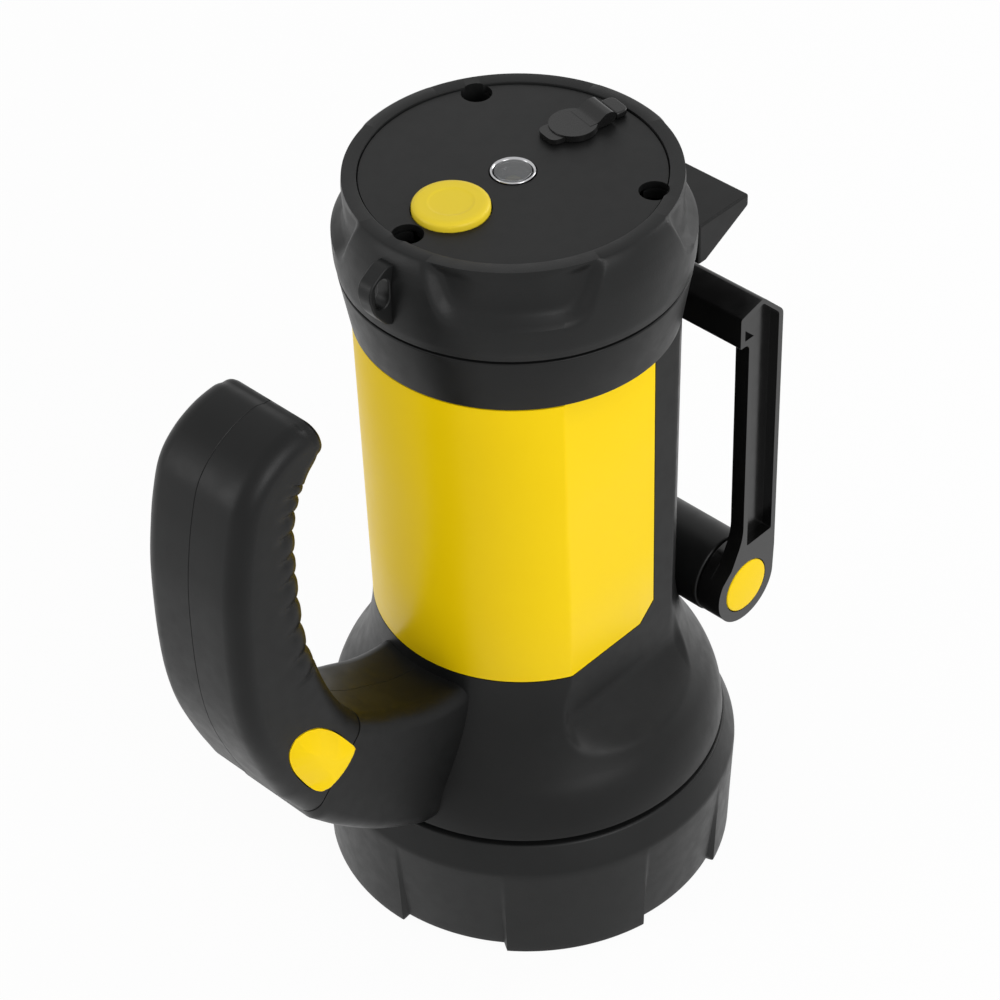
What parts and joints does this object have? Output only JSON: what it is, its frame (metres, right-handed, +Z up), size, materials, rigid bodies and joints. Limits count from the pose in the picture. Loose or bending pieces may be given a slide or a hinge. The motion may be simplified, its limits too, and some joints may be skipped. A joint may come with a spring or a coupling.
{
  "type": "rechargeable torch",
  "caption": "Large hand torch standing on its lens bezel, with a swivel-elbow grip, folding U-shaped stand, rear power button and covered charging socket.",
  "frame": {"origin": "centre of the lens's outer face", "axes": "+Z up the beam axis from the lens to the rear, +X towards the folding stand, -X towards the grip, -Y the side with the grip's lock button"},
  "size_m": [0.1828, 0.1226, 0.2373],
  "materials": {
    "head_black": "matte moulded, fine grain",
    "body_black": "satin moulded, fine grain",
    "gloss_black": "polished moulded",
    "yellow_plastic": "smooth moulded",
    "button_yellow": "smooth silicone",
    "black_rubber": "satin",
    "clear_lens": "clear polished",
    "mirror": "vacuum metallised",
    "led_yellow": "phosphor face",
    "white_board": "solder mask",
    "green_board": "solder mask",
    "aluminium": "die cast",
    "steel": "zinc plated",
    "inner_black": "moulded",
    "cell": "shrink-wrapped can",
    "red_wire": "insulation",
    "black_wire": "insulation"
  },
  "bodies": {
    "torch": {"bezel_ring": "head_black", "front_lens": "clear_lens", "lens_seal": "black_rubber", "reflector": "mirror", "led_emitter": "led_yellow", "led_board": "white_board", "heat_sink": "aluminium", "led_screw_1": "steel", "led_screw_2": "steel", "housing_left": "body_black", "housing_right": "body_black", "body_sleeve": "yellow_plastic", "housing_screw_1": "steel", "housing_screw_2": "steel", "housing_screw_3": "steel", "housing_screw_4": "steel", "battery_holder_lower": "inner_black", "battery_holder_upper": "inner_black", "battery_cell_1": "cell", "battery_cell_2": "cell", "battery_cell_3": "cell", "battery_cell_4": "cell", "positive_lead": "red_wire", "negative_lead": "black_wire", "rear_collar": "body_black", "rear_seal": "black_rubber", "rear_ring": "head_black", "rear_plate": "body_black", "control_board": "green_board", "power_switch": "inner_black", "indicator_led": "led_yellow", "indicator_lens": "clear_lens", "usb_socket": "steel", "usb_cover_anchor": "black_rubber", "rear_screw_1": "steel", "rear_screw_2": "steel", "rear_screw_3": "steel", "stand_pivot_rod": "steel", "stand_washer_left": "steel", "stand_washer_right": "steel", "stand_screw_left": "steel", "stand_screw_right": "steel"},
    "stand": {"stand_bracket": "gloss_black", "stand_cap_left": "yellow_plastic", "stand_cap_right": "yellow_plastic"},
    "grip": {"grip_left": "body_black", "grip_right": "body_black", "swivel_spool": "inner_black", "grip_screw_1": "steel", "grip_screw_2": "steel", "grip_screw_3": "steel"},
    "lock_button": {"lock_button": "yellow_plastic", "lock_spring": "steel"},
    "power_button": {"power_button": "button_yellow"},
    "usb_cover": {"usb_cover": "black_rubber"}
  },
  "joints": [
    {"name": "stand_hinge", "type": "hinge", "parent": "torch", "child": "stand", "pos_m": [0.0486, 0, 0.0782], "axis": [0, 1, 0], "range_deg": [0, 135]},
    {"name": "handle_swivel", "type": "hinge", "parent": "torch", "child": "grip", "pos_m": [-0.08991, 0, 0.0907], "axis": [0.7071, 0, -0.7071], "range_deg": [0, 180]},
    {"name": "lock_button_press", "type": "slide", "parent": "grip", "child": "lock_button", "axis": [0, 1, 0], "range_m": [0, 0.003], "stiffness_N_per_m": 800, "springref_m": -0.001},
    {"name": "power_button_press", "type": "slide", "parent": "torch", "child": "power_button", "axis": [0, 0, -1], "range_m": [0, 0.0015], "stiffness_N_per_m": 1500, "springref_m": -0.0005},
    {"name": "usb_cover_flip", "type": "hinge", "parent": "torch", "child": "usb_cover", "pos_m": [0.0331, -0.00067, 0.2319], "axis": [0.2079, 0.9781, 0], "range_deg": [0, 120]}
  ]
}
